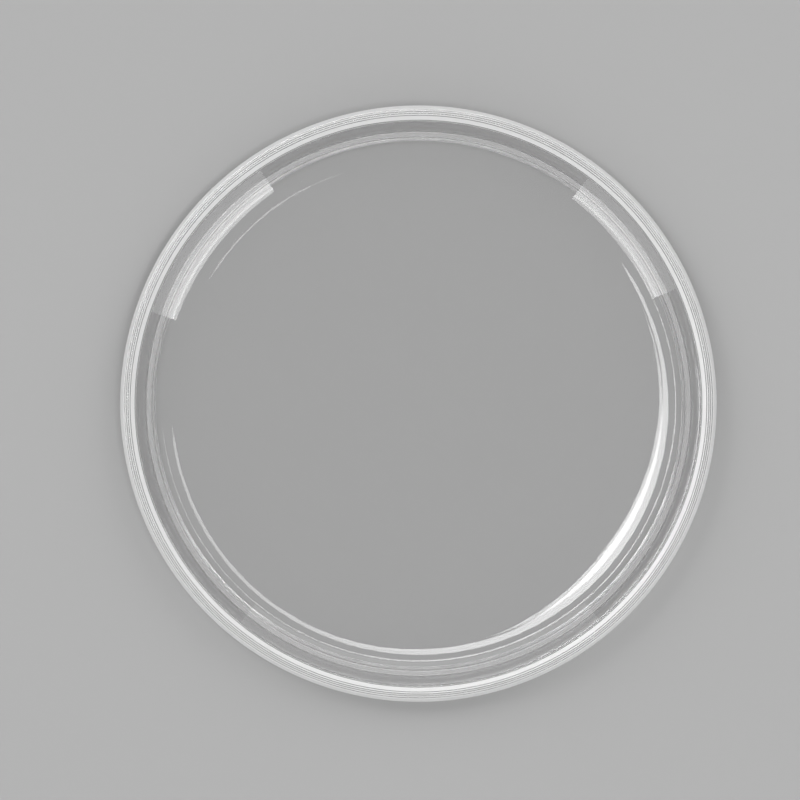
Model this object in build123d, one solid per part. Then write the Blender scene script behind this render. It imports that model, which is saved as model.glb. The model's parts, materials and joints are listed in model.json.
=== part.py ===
from build123d import *
import math
import os

# A domed watch crystal, turned and polished from one piece of clear acrylic.
# Millimetres, +Z up along the axis of the dome. The crystal lies dome up, as it
# is fitted, and the origin is the centre of the ring that it rests on.

# Sizes of the whole crystal
outer_diameter = 34.0       # over the lip, the size that the case is bored for
total_height = 5.1          # from the base to the top of the dome

# Dome, a nearly flat crown with a tight shoulder round it
crown_radius = 240.0
shoulder_radius = 3.3
crown_thickness = 0.7       # square to the surface
dome_wall = 0.7             # the upright wall under the shoulder, above the lip
hollow_corner_radius = 0.95  # inside, where the crown turns down into the hollow's wall

# Lip, the turned foot that the case holds and the bezel covers
lip_width = 1.0             # how far it stands out from the dome wall
lip_height = 1.9            # from the base to the foot of the dome wall, where the ledge starts
foot_cove = 0.1             # round inner corner where the dome wall meets the ledge
ledge_drop = 0.04           # the ledge slopes a little outwards
bevel_width = 0.34          # from the ledge outwards
bevel_drop = 0.2
edge_width = 0.16           # from the bevel out to the rim wall, steeper than the bevel
edge_drop = 0.28
lead_in = 0.15              # chamfer that starts the rim wall into the case
hollow_chamfer = 0.1        # break of the inner edge of the base

# Places that follow from the sizes
outer_radius = outer_diameter / 2
dome_radius = outer_radius - lip_width
hollow_radius = dome_radius - dome_wall
crown_centre_z = total_height - crown_radius

# The shoulder's curve, carried on, would meet the rim wall without a break
shoulder_centre_x = outer_radius - shoulder_radius
shoulder_end_slope = math.asin((dome_radius - shoulder_centre_x) / shoulder_radius)

# The round foot of the dome wall, a quarter circle from the wall's side to the ledge's
cove_centre_x = dome_radius + foot_cove
cove_centre_z = lip_height + foot_cove
cove_wall_slope = math.radians(270)
cove_ledge_slope = math.radians(180)

# The hollow's round corner runs smoothly into its wall
hollow_corner_centre_x = hollow_radius - hollow_corner_radius
hollow_corner_end_slope = math.radians(90)


def on_curve(centre_x, centre_z, radius, slope):
    """Point of a round stretch of the cross-section where the surface falls away at this slope."""
    return (centre_x + radius * math.sin(slope), centre_z + radius * math.cos(slope))


def round_stretch(centre_x, centre_z, radius, first_slope, last_slope):
    """Arc of the cross-section between two slopes, with its middle point worked out."""
    middle_slope = (first_slope + last_slope) / 2
    slopes = (first_slope, middle_slope, last_slope)
    return ThreePointArc(*(on_curve(centre_x, centre_z, radius, slope) for slope in slopes))


def dome_side(crown, corner, corner_centre_x, end_slope):
    """Crown and round corner of one side of the shell, from the axis out to where the corner ends.

    Both are radii of curves. The crown's centre lies on the axis, and the corner touches the crown from below.
    """
    between_centres = crown - corner
    join_slope = math.asin(corner_centre_x / between_centres)
    corner_centre_z = crown_centre_z + between_centres * math.cos(join_slope)
    crown_line = round_stretch(0, crown_centre_z, crown, 0, join_slope)
    corner_line = round_stretch(corner_centre_x, corner_centre_z, corner, join_slope, end_slope)
    return crown_line, corner_line


def lip_outline(dome_edge, hollow_edge):
    """Dome wall and its round foot, then straight stretches round the lip and the base up to the hollow's edge."""
    bevel_start = outer_radius - edge_width - bevel_width
    bevel_end = outer_radius - edge_width
    bevel_head = lip_height - ledge_drop
    bevel_foot = bevel_head - bevel_drop
    foot = round_stretch(cove_centre_x, cove_centre_z, foot_cove, cove_wall_slope, cove_ledge_slope)
    wall = Line(dome_edge, foot @ 0)
    edges = Polyline(
        foot @ 1,
        (bevel_start, bevel_head),
        (bevel_end, bevel_foot),
        (outer_radius, bevel_foot - edge_drop),
        (outer_radius, lead_in),
        (outer_radius - lead_in, 0),
        (hollow_radius + hollow_chamfer, 0),
        (hollow_radius, hollow_chamfer),
        hollow_edge,
    )
    return wall, foot, edges


def crystal():
    """The whole crystal, its cross-section turned about the axis."""
    outer_crown, shoulder = dome_side(crown_radius, shoulder_radius, shoulder_centre_x, shoulder_end_slope)
    inner_crown_radius = crown_radius - crown_thickness
    inner_crown, hollow_corner = dome_side(
        inner_crown_radius, hollow_corner_radius, hollow_corner_centre_x, hollow_corner_end_slope
    )
    lip = lip_outline(shoulder @ 1, hollow_corner @ 1)
    axis_line = Line(outer_crown @ 0, inner_crown @ 0)
    outline = [outer_crown, shoulder, *lip, hollow_corner, inner_crown, axis_line]
    section = Plane.XZ * make_face(outline)
    return revolve(section, Axis.Z)


def main():
    os.makedirs("parts", exist_ok=True)
    export_step(crystal(), "parts/crystal.step")


main()
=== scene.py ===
import json
import math
import random

import bpy
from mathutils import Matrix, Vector


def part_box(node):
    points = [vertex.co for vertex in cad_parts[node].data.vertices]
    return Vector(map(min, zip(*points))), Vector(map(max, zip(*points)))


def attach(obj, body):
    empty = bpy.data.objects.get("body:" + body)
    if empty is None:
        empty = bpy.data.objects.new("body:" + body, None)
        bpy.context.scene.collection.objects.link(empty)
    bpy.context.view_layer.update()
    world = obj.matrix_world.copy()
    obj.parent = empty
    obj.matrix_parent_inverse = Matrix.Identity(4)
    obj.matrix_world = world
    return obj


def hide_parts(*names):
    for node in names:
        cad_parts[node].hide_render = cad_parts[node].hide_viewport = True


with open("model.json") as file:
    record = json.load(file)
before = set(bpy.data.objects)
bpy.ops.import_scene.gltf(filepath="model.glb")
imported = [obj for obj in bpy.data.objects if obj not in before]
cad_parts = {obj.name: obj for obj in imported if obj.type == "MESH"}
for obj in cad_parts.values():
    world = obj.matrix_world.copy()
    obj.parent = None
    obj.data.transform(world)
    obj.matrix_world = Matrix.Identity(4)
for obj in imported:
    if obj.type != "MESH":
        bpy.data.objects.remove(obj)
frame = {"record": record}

bl_info = {
    "name": "Watch crystal",
    "version": (1, 0, 0),
    "blender": (4, 5, 0),
    "location": "3D View > Sidebar > Watch crystal",
    "description": "Turns a clear domed watch crystal and sets the table and lights round it",
    "category": "Object",
}

# Metres, +Z up along the axis of the dome, the origin at the centre of the ring that the crystal rests on
MM = 0.001
ORIGIN = (0.0, 0.0, 0.0)
AXIS = (0.0, 0.0, 1.0)
# Both level directions, for distances that leave out the height
LEVEL = (1.0, 1.0, 0.0)

# Places of the turned lines on ledge, bevel, edge and rim wall, as shares of each one's length
GROOVES = ((0.09, 0.79), (0.09, 0.41, 0.74), (), ())
# Steps along the round stretches of the cross-section
CROWN_STEPS = 16
CORNER_STEPS = 36
FOOT_STEPS = 8
# The crown's last ring lies just inside its join, so that its shading stays true right up to the join
LAST_RING_SHARE = 0.998
# Starts the draws that make the tool marks unequal in depth
MARKS_SEED = 11
# Neighbouring faces that turn less than this, in degrees, are shaded as one round surface
SMOOTH_BELOW = 22

# Finishes, in the order of the crystal's material slots
# The LINE finish is the plastic in the turned grooves, with its colour darkened as painted shade
POLISHED, TURNED, LINE, RIM = range(4)
# Share of light that each surface lets through where it only casts a shadow
POLISHED_PASSING = 0.92
TURNED_PASSING = 0.5
RIM_PASSING = 0.7
# Light that was mirrored more often than this inside the plastic leaves it straight on
MOST_MIRRORINGS = 3.5

# Places of the lights, in metres
OVERHEAD_HEIGHT = 0.8
PANEL_DISTANCE = 0.6
# The table, in metres. It lies a little below the base, so that the two faces stay apart.
TABLE_WIDTH = 6.0
TABLE_GAP = 0.02 * MM
TABLE_ROUGHNESS = 0.9
TABLE_REFLECTION = 0.2
# The camera's sensor in millimetres, the picture's width in pixels, and the nearest thing seen, in metres
SENSOR_WIDTH = 36.0
PICTURE_WIDTH = 800.0
NEAREST_SEEN = 0.01

# Angle above the table in degrees and share of the brightness there, of each upright panel
LEFT_FADES = ((0, 0.22), (12, 0.25), (20, 0.29), (30, 0.38), (40, 0.57), (54, 1.0), (61, 0.85))
RIGHT_FADES = ((0, 0.2), (12, 0.23), (20, 0.27), (30, 0.4), (40, 0.66), (54, 0.85), (61, 0.14))
NEAR_FADES = ((0, 1.0), (61, 1.0))
# Each upright panel's name, the azimuth of its middle and its spread in degrees, the setting with its
# brightness, and its fades
PANELS = (
    ("left_panel", 142.5, 37.0, "panels", LEFT_FADES),
    ("right_panel", 38.5, 29.0, "panels", RIGHT_FADES),
    ("near_panel", -89.5, 79.0, "low_panel", NEAR_FADES),
)
# Azimuth in degrees, inner and outer radius in metres of the lights overhead, set so that the crown
# mirrors them as a crescent and a thin line
OVERHEAD_OUTLINE = (
    (-175.0, 0.180, 0.182),
    (-170.0, 0.149, 0.216),
    (-150.0, 0.152, 0.238),
    (-124.0, 0.169, 0.267),
    (-104.0, 0.158, 0.290),
    (-88.0, 0.1365, 0.297),
    (-64.0, 0.1342, 0.297),
    (-38.0, 0.1318, 0.287),
    (-24.0, 0.1325, 0.279),
    (0.0, 0.1348, 0.257),
    (24.0, 0.1358, 0.212),
    (30.0, 0.138, 0.208),
    (34.0, 0.170, 0.175),
)
STRIP_OUTLINE = (
    (107.0, 0.1322, 0.1323),
    (132.0, 0.1317, 0.1325),
    (144.0, 0.1314, 0.1326),
    (149.0, 0.1318, 0.1320),
)
# The overhead light's brightest spot, and distance from it in metres and share of the brightness there
OVERHEAD_SPOT = (0.156, -0.14, 0.0)
OVERHEAD_FADES = ((0.0, 1.0), (0.175, 0.8), (0.35, 0.5), (0.6, 0.4))

MOUNTS = {mount["name"]: mount for mount in frame["record"]["mounts"]}
HIGH_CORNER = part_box("crystal")[1]


def mount_radius(name):
    """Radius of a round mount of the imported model, in metres."""
    return MOUNTS[name]["dims"]["r_mm"] * MM


def mount_end(name, side):
    """Height of the top (side 1) or the foot (side -1) of a round mount's wall, in metres."""
    mount = MOUNTS[name]
    return mount["pos_m"][2] + side * mount["dims"]["length_mm"] * MM / 2


def length(name, description, default):
    """A size in metres that the panel shows as a length."""
    return bpy.props.FloatProperty(
        name=name,
        description=description,
        default=default,
        min=0.0,
        precision=5,
        subtype="DISTANCE",
        unit="LENGTH",
    )


def number(name, description, default, low=0.0, high=1.0):
    """A plain number with its limits."""
    return bpy.props.FloatProperty(
        name=name, description=description, default=default, min=low, max=high, precision=3
    )


def colour(name, description, grey):
    """A neutral colour."""
    shade = (grey, grey, grey)
    return bpy.props.FloatVectorProperty(
        name=name, description=description, default=shade, min=0.0, max=1.0, size=3, subtype="COLOR"
    )


class CrystalSizes(bpy.types.PropertyGroup):
    """Sizes of the crystal's cross-section."""

    outer_radius: length("Outer radius", "Radius of the rim wall", mount_radius("rim_wall"))
    total_height: length("Total height", "From the base to the top of the dome", HIGH_CORNER.z)
    dome_radius: length("Dome radius", "Radius of the wall under the shoulder", mount_radius("dome_wall"))
    hollow_radius: length("Hollow radius", "Radius of the hollow's wall", mount_radius("hollow"))
    crown_radius: length("Crown curve", "Radius of the nearly flat crown's curve", 240 * MM)
    shoulder_radius: length("Shoulder curve", "Radius of the shoulder's curve", 3.3 * MM)
    crown_thickness: length("Crown thickness", "Thickness of the crown, square to the surface", 0.7 * MM)
    hollow_corner: length("Hollow corner", "Radius of the hollow's round corner under the crown", 0.95 * MM)
    wall_foot: length("Wall foot", "Height at which the dome wall starts", mount_end("dome_wall", -1))
    rim_top: length("Rim wall top", "Height at which the rim wall ends", mount_end("rim_wall", 1))
    rim_foot: length("Rim wall foot", "Height at which the rim wall starts", mount_end("rim_wall", -1))
    foot_cove: length("Foot cove", "Radius of the round inner corner at the dome wall's foot", 0.1 * MM)
    ledge_drop: length("Ledge drop", "How far the ledge falls away outwards", 0.04 * MM)
    bevel_width: length("Bevel width", "Width of the lip's bevel", 0.34 * MM)
    bevel_drop: length("Bevel drop", "Height of the lip's bevel", 0.2 * MM)
    edge_width: length("Edge width", "Width of the steep band between the bevel and the rim wall", 0.16 * MM)
    hollow_break: length("Hollow edge break", "Chamfer at the mouth of the hollow", mount_end("hollow", -1))
    turns: bpy.props.IntProperty(name="Turning steps", description="Faces all round", default=360, min=24)


class LatheMarks(bpy.types.PropertyGroup):
    """Fine lines that the turning tool left on the lip, and the softened corners."""

    groove_width: length("Groove width", "Width of a turned line in the lip", 0.045 * MM)
    groove_depth: length("Groove depth", "Depth of a turned line in the lip", 0.025 * MM)
    ridge_pitch: length("Ridge pitch", "Distance between fine tool marks", 0.056 * MM)
    ridge_depth: length("Ridge depth", "Depth of the fine tool marks", 0.001 * MM)
    fine_pitch: length("Fine line pitch", "Distance between the finest lines, too fine to model", 0.03 * MM)
    fine_depth: length("Fine line depth", "Depth of the finest lines, too fine to model", 0.0006 * MM)
    corner_break: length("Corner break", "How far the turned corners are softened", 0.02 * MM)


class AcrylicFinish(bpy.types.PropertyGroup):
    """Look of the clear plastic."""

    tint: colour("Tint", "Colour of the clear plastic", 0.98)
    refraction: number("Refraction", "Index of refraction of acrylic", 1.49, 1.0, 3.0)
    polish: number("Polish", "Roughness of the polished surfaces", 0.0)
    satin: number("Satin", "Roughness of the turned lip", 0.22)
    satin_clearness: number("Satin clearness", "Share of light that the turned lip passes unscattered", 0.3)
    satin_spread: number("Satin spread", "Share of light that the turned lip spreads as it passes", 0.18)
    satin_shade: number("Satin shade", "Brightness of the light that the turned lip spreads", 0.95)
    rim_clearness: number("Rim clearness", "Share of light that the rim wall passes unscattered", 0.75)
    # Painted shade: the colour in the turned grooves is darkened to stand for the shade that falls in them
    groove_painted_shade: number("Line tint", "How bright the turned lines are beside the rest of the plastic", 0.6)
    haze: number("Haze", "Strength of the haze from polishing and handling", 1.0)
    hairlines: number("Hairlines", "Strength of the hairline marks", 0.3)
    mark_roughness: number("Mark roughness", "Roughness that the strongest mark adds", 0.08)


class StageSettings(bpy.types.PropertyGroup):
    """Table, lights and camera."""

    table: colour("Table", "Colour of the plain table", 0.4)
    surroundings: colour("Surroundings", "Brightness of the room", 0.15)
    overhead: number("Overhead light", "Brightness overhead, at the brightest spot", 11.0, 0.0, 50.0)
    strip: number("Overhead strip", "Brightness of the narrow strip overhead", 6.0, 0.0, 50.0)
    panels: number("Side panels", "Brightness of the two bright upright panels", 6.5, 0.0, 50.0)
    low_panel: number("Dim panel", "Brightness of the dim upright panel", 1.0, 0.0, 50.0)
    camera_distance: length("Camera distance", "From the lens down to the rim", 400 * MM)
    camera_left: length("Camera left", "How far the camera stands to the left of the axis", 1.05 * MM)
    camera_up: length("Camera up", "How far the camera stands from the axis, up the picture", 0.209 * MM)
    pixels_per_metre: bpy.props.FloatProperty(
        name="Scale", description="Pixels to a metre at the rim, in a picture 800 across", default=17545.0
    )


def deselect_all():
    """Nothing stays selected before a new piece is started."""
    bpy.ops.object.select_all(action="DESELECT")


def arc(centre_x, centre_z, radius, first_slope, last_slope, steps):
    """Points of a round stretch of the cross-section, from one slope of the surface to another."""
    slopes = [first_slope + (last_slope - first_slope) * step / steps for step in range(steps + 1)]
    return [(centre_x + radius * math.sin(slope), centre_z + radius * math.cos(slope)) for slope in slopes]


def dome_side(sizes, inset, corner, outermost, reach):
    """Crown and round corner of one side of the shell, from the axis out to the radius that it reaches.

    The crown lies the inset in from the outside. Its corner, carried on, would go out as far as outermost.
    Where it does go that far, rounding must not carry the sine past 1.
    """
    crown = sizes.crown_radius - inset
    crown_z = sizes.total_height - sizes.crown_radius
    centre_x = outermost - corner
    join = math.asin(centre_x / (crown - corner))
    corner_z = crown_z + (crown - corner) * math.cos(join)
    end = math.asin(min(1.0, (reach - centre_x) / corner))
    crown_arc = arc(0.0, crown_z, crown, 0.0, join, CROWN_STEPS)
    last_ring = arc(0.0, crown_z, crown, join * LAST_RING_SHARE, join, 1)
    corner_arc = arc(centre_x, corner_z, corner, join, end, CORNER_STEPS)
    return crown_arc[:-1] + last_ring + corner_arc[1:]


def outer_side(sizes):
    """The outside of the dome, from its top down to the dome wall."""
    return dome_side(sizes, 0.0, sizes.shoulder_radius, sizes.outer_radius, sizes.dome_radius)


def inner_side(sizes):
    """The inside of the dome, from under its top down to the hollow's wall."""
    radius = sizes.hollow_radius
    return dome_side(sizes, sizes.crown_thickness, sizes.hollow_corner, radius, radius)


def foot_side(sizes):
    """The round inner corner at the foot of the dome wall, from the wall to the ledge."""
    cove = sizes.foot_cove
    slopes = (math.radians(270), math.radians(180))
    return arc(sizes.dome_radius + cove, sizes.wall_foot, cove, *slopes, FOOT_STEPS)


def turned_stretch(start, end, marks, chance, grooves):
    """A straight stretch with fine tool marks, and scribed grooves at the given shares of its length.

    The outside of the plastic lies to the left of the way from start to end. A mark is deepest halfway
    between two ridges. The marks differ in depth, and they stay clear of the grooves.
    """
    halfway = 0.5
    shallowest_share = 0.4
    groove_room_share = 1.1
    run = Vector((end[0] - start[0], end[1] - start[1]))
    along = run.normalized()
    outwards = Vector((-along.y, along.x))
    count = max(2, round(run.length / marks.ridge_pitch))
    points = []
    for ridge in range(count):
        depth = marks.ridge_depth * chance.uniform(shallowest_share, 1.0)
        points.append((ridge / count * run.length, 0.0))
        points.append(((ridge + halfway) / count * run.length, depth))
    points.append((run.length, 0.0))
    half = marks.groove_width / 2
    for share in grooves:
        middle = share * run.length
        points = [point for point in points if abs(point[0] - middle) > half * groove_room_share]
        points += [(middle - half, 0.0), (middle, marks.groove_depth), (middle + half, 0.0)]
    points.sort()
    return [tuple(Vector(start) + along * distance - outwards * depth) for distance, depth in points]


def lip_corners(sizes):
    """Corners of the lip, from the dome wall's foot over ledge, bevel and edge and down the rim wall."""
    bevel_end = sizes.outer_radius - sizes.edge_width
    bevel_start = bevel_end - sizes.bevel_width
    ledge_start = foot_side(sizes)[-1]
    bevel_head = ledge_start[1] - sizes.ledge_drop
    return [
        ledge_start,
        (bevel_start, bevel_head),
        (bevel_end, bevel_head - sizes.bevel_drop),
        (sizes.outer_radius, sizes.rim_top),
        (sizes.outer_radius, sizes.rim_foot),
    ]


def groove_radii(sizes):
    """Radii of the middles of the turned lines."""
    corners = lip_corners(sizes)
    stretches = zip(corners, corners[1:], GROOVES)
    return [start[0] + (end[0] - start[0]) * share for start, end, places in stretches for share in places]


def lip_side(sizes, marks, chance):
    """The lip's cross-section, with its tool marks and turned lines."""
    corners = lip_corners(sizes)
    points = []
    for start, end, places in zip(corners, corners[1:], GROOVES):
        points += turned_stretch(start, end, marks, chance, places)[:-1]
    return points + [corners[-1]]


def cross_section(sizes, marks):
    """Half of the cross-section, from the top of the dome round the lip and up to the hollow's crown."""
    chance = random.Random(MARKS_SEED)
    base = [
        (sizes.outer_radius - sizes.rim_foot, 0.0),
        (sizes.hollow_radius + sizes.hollow_break, 0.0),
        (sizes.hollow_radius, sizes.hollow_break),
    ]
    lip = foot_side(sizes)[:-1] + lip_side(sizes, marks, chance)
    return outer_side(sizes) + lip + base + inner_side(sizes)[::-1]


def lathe(name, outline, turns):
    """Draws the cross-section by extruding one point, and spins it round the axis into a closed solid."""
    deselect_all()
    bpy.ops.mesh.primitive_plane_add(size=MM)
    piece = bpy.context.active_object
    piece.name = name
    bpy.ops.object.mode_set(mode="EDIT")
    bpy.ops.mesh.select_all(action="SELECT")
    bpy.ops.mesh.merge(type="CENTER")
    bpy.ops.transform.translate(value=(outline[0][0], 0.0, outline[0][1]))
    for here, there in zip(outline, outline[1:]):
        step = (there[0] - here[0], 0.0, there[1] - here[1])
        bpy.ops.mesh.extrude_region_move(TRANSFORM_OT_translate={"value": step})
    bpy.ops.mesh.select_all(action="SELECT")
    bpy.ops.mesh.spin(steps=turns, angle=math.tau, center=ORIGIN, axis=AXIS)
    bpy.ops.mesh.select_all(action="SELECT")
    bpy.ops.mesh.remove_doubles(threshold=0.0001 * MM)
    bpy.ops.mesh.normals_make_consistent(inside=False)
    bpy.ops.object.mode_set(mode="OBJECT")
    return piece


def soften_rings(piece, rings, width):
    """Bevels the rings of edges that lie at these radii and heights."""
    mesh = piece.data
    near = 0.002 * MM
    for radius, height in rings:
        bpy.ops.object.mode_set(mode="EDIT")
        bpy.ops.mesh.select_all(action="DESELECT")
        bpy.ops.object.mode_set(mode="OBJECT")
        on_ring = []
        for vertex in mesh.vertices:
            off_radius = abs(math.hypot(vertex.co.x, vertex.co.y) - radius)
            off_height = abs(vertex.co.z - height)
            on_ring.append(off_radius < near and off_height < near)
        for edge in mesh.edges:
            edge.select = all(on_ring[vertex] for vertex in edge.vertices)
        bpy.ops.object.mode_set(mode="EDIT")
        bpy.ops.mesh.select_mode(type="EDGE")
        bpy.ops.mesh.bevel(offset=width, segments=3, affect="EDGES")
        bpy.ops.object.mode_set(mode="OBJECT")


def new_group(name, inputs, outputs):
    """An empty shader node group with named number sockets."""
    group = bpy.data.node_groups.new(name, "ShaderNodeTree")
    for label, default in inputs:
        socket = group.interface.new_socket(name=label, in_out="INPUT", socket_type="NodeSocketFloat")
        socket.default_value = default
    for label in outputs:
        group.interface.new_socket(name=label, in_out="OUTPUT", socket_type="NodeSocketFloat")
    return group


def group_ends(group):
    """The input and output nodes of a shader node group."""
    return group.nodes.new("NodeGroupInput"), group.nodes.new("NodeGroupOutput")


def math_node(tree, operation, first, second=None):
    """A math node fed by sockets or plain numbers. Gives its output."""
    node = tree.nodes.new("ShaderNodeMath")
    node.operation = operation
    for socket, value in zip(node.inputs, (first, second)):
        if value is None:
            continue
        if isinstance(value, bpy.types.NodeSocket):
            tree.links.new(value, socket)
        else:
            socket.default_value = value
    return node.outputs[0]


def vector_node(tree, operation, first, second=None):
    """A vector math node. Gives its number for a length, and its vector otherwise."""
    node = tree.nodes.new("ShaderNodeVectorMath")
    node.operation = operation
    tree.links.new(first, node.inputs[0])
    if second is not None:
        node.inputs[1].default_value = second
    return node.outputs["Value" if operation == "LENGTH" else "Vector"]


def noise_node(tree, source, scale, detail, dimensions="3D"):
    """A noise texture that reads a place, or one number. Gives its value."""
    node = tree.nodes.new("ShaderNodeTexNoise")
    node.noise_dimensions = dimensions
    node.inputs["Scale"].default_value = scale
    node.inputs["Detail"].default_value = detail
    tree.links.new(source, node.inputs["W" if dimensions == "1D" else "Vector"])
    return node.outputs[0]


def tool_line_group():
    """Height of fine turned lines that follow the lip outwards and down."""
    group = new_group("turned_lines", [("Pitch", 0.05 * MM)], ["Height"])
    given, result = group_ends(group)
    place = group.nodes.new("ShaderNodeTexCoord").outputs["Object"]
    parts = group.nodes.new("ShaderNodeSeparateXYZ")
    group.links.new(place, parts.inputs[0])
    across = math_node(group, "POWER", parts.outputs["X"], 2.0)
    deep = math_node(group, "POWER", parts.outputs["Y"], 2.0)
    radius = math_node(group, "SQRT", math_node(group, "ADD", across, deep))
    distance = math_node(group, "SUBTRACT", radius, parts.outputs["Z"])
    lines = math_node(group, "DIVIDE", distance, given.outputs["Pitch"])
    height = noise_node(group, lines, scale=1.0, detail=2.0, dimensions="1D")
    group.links.new(height, result.inputs["Height"])
    return group


def handling_group():
    """Haze and hairline marks from polishing and handling, as a mask from 0 to 1.

    A hairline runs where a noise passes its middle value, and a finer noise breaks it up.
    """
    haze_start = 0.55
    middle = 0.5
    line_width = 0.004
    line_break = 0.58
    group = new_group("handling_marks", [("Haze", 0.3), ("Hairlines", 0.5)], ["Mask"])
    given, result = group_ends(group)
    place = group.nodes.new("ShaderNodeTexCoord").outputs["Object"]
    cloud = noise_node(group, place, scale=180.0, detail=3.0)
    hazy = math_node(group, "MAXIMUM", math_node(group, "SUBTRACT", cloud, haze_start), 0.0)
    haze = math_node(group, "MULTIPLY", hazy, given.outputs["Haze"])
    wander = noise_node(group, place, scale=260.0, detail=1.0)
    from_middle = math_node(group, "ABSOLUTE", math_node(group, "SUBTRACT", wander, middle))
    line = math_node(group, "LESS_THAN", from_middle, line_width)
    fine = noise_node(group, place, scale=900.0, detail=0.0)
    broken = math_node(group, "GREATER_THAN", fine, line_break)
    broken_line = math_node(group, "MULTIPLY", line, broken)
    hairline = math_node(group, "MULTIPLY", broken_line, given.outputs["Hairlines"])
    total = math_node(group, "ADD", haze, hairline)
    group.links.new(math_node(group, "MINIMUM", total, 1.0), result.inputs["Mask"])
    return group


def place_group(tree, group, **values):
    """A group node in a material, with its own values."""
    node = tree.nodes.new("ShaderNodeGroup")
    node.node_tree = group
    for label, value in values.items():
        node.inputs[label].default_value = value
    return node


def blend_shaders(tree, share, first, second):
    """Mixes two shaders. The share belongs to the second one."""
    mix = tree.nodes.new("ShaderNodeMixShader")
    if isinstance(share, bpy.types.NodeSocket):
        tree.links.new(share, mix.inputs[0])
    else:
        mix.inputs[0].default_value = share
    tree.links.new(first, mix.inputs[1])
    tree.links.new(second, mix.inputs[2])
    return mix.outputs[0]


def simple_shader(tree, kind, grey):
    """A shader of one neutral colour."""
    node = tree.nodes.new(kind)
    node.inputs["Color"].default_value = (grey, grey, grey, 1.0)
    return node.outputs[0]


def satin_surface(tree, surface, scene, turned_lines):
    """Turned lines too fine to model, and a share of light that the surface spreads as it passes through."""
    marks = scene.crystal_marks
    finish = scene.crystal_finish
    lines = place_group(tree, turned_lines, Pitch=marks.fine_pitch)
    bump = tree.nodes.new("ShaderNodeBump")
    bump.inputs["Distance"].default_value = marks.fine_depth
    tree.links.new(lines.outputs["Height"], bump.inputs["Height"])
    tree.links.new(bump.outputs["Normal"], surface.inputs["Normal"])
    spread = simple_shader(tree, "ShaderNodeBsdfTranslucent", finish.satin_shade)
    return blend_shaders(tree, finish.satin_spread, surface.outputs[0], spread)


def acrylic(name, scene, clearness, passing, groups, tint=1.0, satin=False):
    """Clear acrylic with handling marks in its gloss, and turned lines in a satin surface.

    Clearness is the share of light that the surface passes unscattered, and passing the share that it lets
    through where it only casts a shadow.
    """
    finish = scene.crystal_finish
    handling, turned_lines = groups
    material = bpy.data.materials.new(name)
    material.use_nodes = True
    tree = material.node_tree
    surface = tree.nodes["Principled BSDF"]
    # A tint below 1 is painted shade: it darkens the plastic's colour in the turned grooves
    surface.inputs["Base Color"].default_value = (*(tint * part for part in finish.tint), 1.0)
    surface.inputs["IOR"].default_value = finish.refraction
    surface.inputs["Transmission Weight"].default_value = clearness
    worn = place_group(tree, handling, Haze=finish.haze, Hairlines=finish.hairlines)
    added = math_node(tree, "MULTIPLY", worn.outputs["Mask"], finish.mark_roughness)
    roughness = finish.satin if satin else finish.polish
    tree.links.new(math_node(tree, "ADD", added, roughness), surface.inputs["Roughness"])
    shader = surface.outputs[0]
    if satin:
        shader = satin_surface(tree, surface, scene, turned_lines)
    path = tree.nodes.new("ShaderNodeLightPath")
    unseen = math_node(tree, "MAXIMUM", path.outputs["Is Shadow Ray"], path.outputs["Is Diffuse Ray"])
    trapped = math_node(tree, "GREATER_THAN", path.outputs["Glossy Depth"], MOST_MIRRORINGS)
    passes = math_node(tree, "MAXIMUM", unseen, trapped)
    straight = simple_shader(tree, "ShaderNodeBsdfTransparent", passing)
    shader = blend_shaders(tree, passes, shader, straight)
    tree.links.new(shader, tree.nodes["Material Output"].inputs["Surface"])
    return material


def matte(name, shade, roughness, reflection):
    """A plain matte surface."""
    material = bpy.data.materials.new(name)
    material.use_nodes = True
    surface = material.node_tree.nodes["Principled BSDF"]
    surface.inputs["Base Color"].default_value = (*shade, 1.0)
    surface.inputs["Roughness"].default_value = roughness
    surface.inputs["Specular IOR Level"].default_value = reflection
    return material


def glow(name, strength, spot=ORIGIN, axes=AXIS, fades=()):
    """A lit diffuser, which may fade away from a spot.

    Fades are pairs of distance from the spot, counted along the given axes, and share of the strength there.
    """
    material = bpy.data.materials.new(name)
    material.use_nodes = True
    tree = material.node_tree
    tree.nodes.clear()
    light = tree.nodes.new("ShaderNodeEmission")
    light.inputs["Strength"].default_value = strength
    if fades:
        place = tree.nodes.new("ShaderNodeTexCoord").outputs["Object"]
        away = vector_node(tree, "SUBTRACT", place, spot)
        counted = vector_node(tree, "MULTIPLY", away, axes)
        far = fades[-1][0]
        share = math_node(tree, "DIVIDE", vector_node(tree, "LENGTH", counted), far)
        curve = tree.nodes.new("ShaderNodeFloatCurve")
        points = curve.mapping.curves[0].points
        for distance, value in fades[1:-1]:
            points.new(distance / far, value)
        points[0].location = (0.0, fades[0][1])
        points[len(points) - 1].location = (1.0, fades[-1][1])
        curve.mapping.update()
        tree.links.new(share, curve.inputs["Value"])
        tree.links.new(math_node(tree, "MULTIPLY", curve.outputs[0], strength), light.inputs["Strength"])
    output = tree.nodes.new("ShaderNodeOutputMaterial")
    tree.links.new(light.outputs[0], output.inputs["Surface"])
    return material


def softened_rings(sizes):
    """Radius and height of the rings of edges that are softened, under the shoulder and on the rim."""
    return [
        outer_side(sizes)[-1],
        (sizes.outer_radius, sizes.rim_top),
        (sizes.outer_radius, sizes.rim_foot),
        (sizes.outer_radius - sizes.rim_foot, 0.0),
    ]


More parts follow.
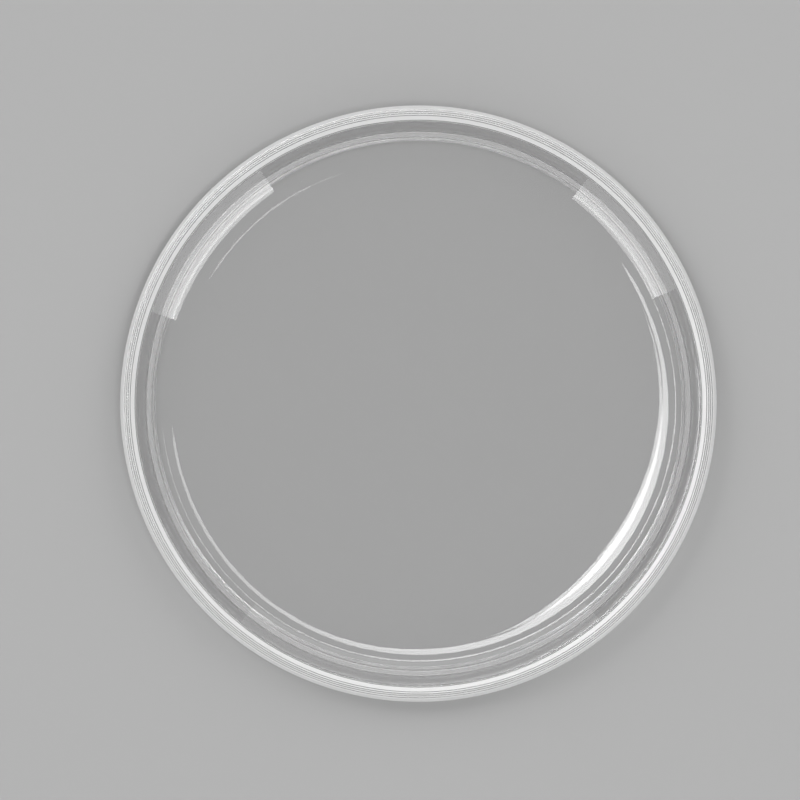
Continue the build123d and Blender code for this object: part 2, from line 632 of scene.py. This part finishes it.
def add_finishes(piece, scene):
    """Adds a material for each finish, in the order of POLISHED, TURNED, LINE and RIM."""
    finish = scene.crystal_finish
    groups = (handling_group(), tool_line_group())
    finishes = (
        acrylic("polished_acrylic", scene, 1.0, POLISHED_PASSING, groups),
        acrylic("turned_acrylic", scene, finish.satin_clearness, TURNED_PASSING, groups, satin=True),
        # The grooves' plastic is darkened by painted shade
        acrylic("painted_shade_line_acrylic", scene, 1.0, TURNED_PASSING, groups, tint=finish.groove_painted_shade),
        acrylic("rim_acrylic", scene, finish.rim_clearness, RIM_PASSING, groups, satin=True),
    )
    for material in finishes:
        piece.data.materials.append(material)


def finish_faces(piece, sizes, marks):
    """Gives each face its finish by where it lies. The base is as polished as the dome."""
    lines = groove_radii(sizes)
    half = marks.groove_width / 2
    ledge_start = lip_corners(sizes)[0][0]
    above_base = 0.01 * MM
    for face in piece.data.polygons:
        radius = math.hypot(face.center.x, face.center.y)
        height = face.center.z
        if radius <= ledge_start or height <= above_base:
            face.material_index = POLISHED
        elif height < sizes.rim_top:
            face.material_index = RIM
        # Faces in a turned groove get the plastic darkened as painted shade
        elif any(abs(radius - line) < half for line in lines):
            face.material_index = LINE
        else:
            face.material_index = TURNED


class CRYSTAL_OT_turn(bpy.types.Operator):
    """Turn the crystal from its cross-section and give it its polished and satin finishes"""

    bl_idname = "crystal.turn"
    bl_label = "Turn the crystal"

    def execute(self, context):
        """Makes the piece that stands for the CAD node."""
        scene = context.scene
        sizes = scene.crystal_sizes
        marks = scene.crystal_marks
        piece = lathe("domed_crystal", cross_section(sizes, marks), sizes.turns)
        soften_rings(piece, softened_rings(sizes), marks.corner_break)
        add_finishes(piece, scene)
        finish_faces(piece, sizes, marks)
        deselect_all()
        piece.select_set(True)
        context.view_layer.objects.active = piece
        bpy.ops.object.shade_smooth_by_angle(angle=math.radians(SMOOTH_BELOW))
        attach(piece, "root")
        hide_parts("crystal")
        return {"FINISHED"}


def hide_light(light):
    """A light that the crystal mirrors, and that the camera doesn't see itself."""
    light.visible_camera = False
    light.visible_shadow = False


def stand_panel(name, azimuth, width, height, material):
    """A bright upright panel that stands on the table and faces the crystal."""
    deselect_all()
    bpy.ops.mesh.primitive_plane_add(size=1.0, location=ORIGIN)
    panel = bpy.context.active_object
    panel.name = name
    bpy.ops.object.mode_set(mode="EDIT")
    bpy.ops.mesh.select_all(action="SELECT")
    bpy.ops.transform.rotate(value=math.radians(90), orient_axis="X", center_override=ORIGIN)
    bpy.ops.transform.resize(value=(width, 1.0, height), center_override=ORIGIN)
    bpy.ops.transform.translate(value=(0.0, PANEL_DISTANCE, height / 2))
    bpy.ops.transform.rotate(value=math.radians(90) - azimuth, orient_axis="Z", center_override=ORIGIN)
    bpy.ops.object.mode_set(mode="OBJECT")
    panel.data.materials.append(material)
    hide_light(panel)


def reach_at(outline, azimuth):
    """Inner and outer radius of a light's outline at an azimuth in degrees, evenly between its places."""
    for (here, *first), (there, *last) in zip(outline, outline[1:]):
        if azimuth <= there:
            share = (azimuth - here) / (there - here)
            return [start + (end - start) * share for start, end in zip(first, last)]
    return outline[-1][1:]


def overhead_light(name, outline, material):
    """A level diffuser round the camera, given by azimuth in degrees, inner and outer radius in metres.

    It is a strip of faces, whose one long side is laid along the inner radius and the other along the outer.
    """
    deselect_all()
    bpy.ops.mesh.primitive_grid_add(x_subdivisions=240, y_subdivisions=1, size=1.0, location=ORIGIN)
    light = bpy.context.active_object
    light.name = name
    first = outline[0][0]
    spread = outline[-1][0] - first
    for vertex in light.data.vertices:
        azimuth = first + (vertex.co.x + 0.5) * spread
        inner, outer = reach_at(outline, azimuth)
        reach = outer if vertex.co.y > 0.0 else inner
        turned = math.radians(azimuth)
        vertex.co = (reach * math.cos(turned), reach * math.sin(turned), OVERHEAD_HEIGHT)
    light.data.materials.append(material)
    hide_light(light)


def set_table(shade):
    """The plain table that the crystal lies on."""
    deselect_all()
    bpy.ops.mesh.primitive_plane_add(size=TABLE_WIDTH, location=(0.0, 0.0, -TABLE_GAP))
    table = bpy.context.active_object
    table.name = "table"
    table.data.materials.append(matte("plain_table", shade, TABLE_ROUGHNESS, TABLE_REFLECTION))


def set_lights(stage):
    """The diffuser and the narrow strip overhead, and the upright panels."""
    overhead = glow("overhead_glow", stage.overhead, OVERHEAD_SPOT, LEVEL, OVERHEAD_FADES)
    overhead_light("overhead_light", OVERHEAD_OUTLINE, overhead)
    overhead_light("overhead_strip", STRIP_OUTLINE, glow("strip_glow", stage.strip))
    for name, centre, spread, setting, fades in PANELS:
        width = 2 * PANEL_DISTANCE * math.tan(math.radians(spread / 2))
        heights = tuple((PANEL_DISTANCE * math.tan(math.radians(slope)), share) for slope, share in fades)
        material = glow(name + "_glow", getattr(stage, setting), ORIGIN, AXIS, heights)
        stand_panel(name, math.radians(centre), width, heights[-1][0], material)


def set_room(scene, shade):
    """The even light of the room, in which a colour is shown as it is written."""
    world = bpy.data.worlds.new("room")
    world.use_nodes = True
    backdrop = world.node_tree.nodes["Background"]
    backdrop.inputs["Color"].default_value = (*shade, 1.0)
    scene.world = world
    scene.view_settings.view_transform = "Standard"


def set_camera(scene, stage, rim_height):
    """The camera above the crystal, looking straight down."""
    camera_data = bpy.data.cameras.new("camera")
    camera_data.sensor_width = SENSOR_WIDTH
    camera_data.lens = stage.pixels_per_metre * SENSOR_WIDTH * stage.camera_distance / PICTURE_WIDTH
    camera_data.clip_start = NEAREST_SEEN
    camera = bpy.data.objects.new("camera", camera_data)
    camera.location = (-stage.camera_left, stage.camera_up, rim_height + stage.camera_distance)
    scene.collection.objects.link(camera)
    scene.camera = camera


class CRYSTAL_OT_stage(bpy.types.Operator):
    """Set the plain table, the soft lights and the camera above the crystal"""

    bl_idname = "crystal.stage"
    bl_label = "Set the stage"

    def execute(self, context):
        """Makes everything that isn't part of the crystal."""
        scene = context.scene
        stage = scene.crystal_stage
        set_table(stage.table)
        set_lights(stage)
        set_room(scene, stage.surroundings)
        set_camera(scene, stage, scene.crystal_sizes.rim_top)
        return {"FINISHED"}


class CRYSTAL_PT_panel(bpy.types.Panel):
    """Panel in the 3D view's sidebar"""

    bl_label = "Watch crystal"
    bl_space_type = "VIEW_3D"
    bl_region_type = "UI"
    bl_category = "Watch crystal"

    def draw(self, context):
        """Lists the operators and every setting."""
        layout = self.layout
        for operator in OPERATORS:
            layout.operator(operator.bl_idname)
        for name in SETTINGS:
            settings = getattr(context.scene, name)
            box = layout.box()
            for prop in settings.bl_rna.properties:
                if prop.identifier not in {"rna_type", "name"}:
                    box.prop(settings, prop.identifier)


SETTINGS = {
    "crystal_sizes": CrystalSizes,
    "crystal_marks": LatheMarks,
    "crystal_finish": AcrylicFinish,
    "crystal_stage": StageSettings,
}
OPERATORS = (CRYSTAL_OT_turn, CRYSTAL_OT_stage)


def register():
    """Registers the settings, the operators and the panel."""
    for group in SETTINGS.values():
        bpy.utils.register_class(group)
    for name, group in SETTINGS.items():
        setattr(bpy.types.Scene, name, bpy.props.PointerProperty(type=group))
    for operator in OPERATORS:
        bpy.utils.register_class(operator)
    bpy.utils.register_class(CRYSTAL_PT_panel)


def unregister():
    """Takes all of it out again."""
    bpy.utils.unregister_class(CRYSTAL_PT_panel)
    for operator in reversed(OPERATORS):
        bpy.utils.unregister_class(operator)
    for name in SETTINGS:
        delattr(bpy.types.Scene, name)
    for group in reversed(list(SETTINGS.values())):
        bpy.utils.unregister_class(group)


def main():
    """Makes the crystal and its stage."""
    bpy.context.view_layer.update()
    register()
    bpy.ops.crystal.turn()
    bpy.ops.crystal.stage()


if __name__ == "__main__":
    main()
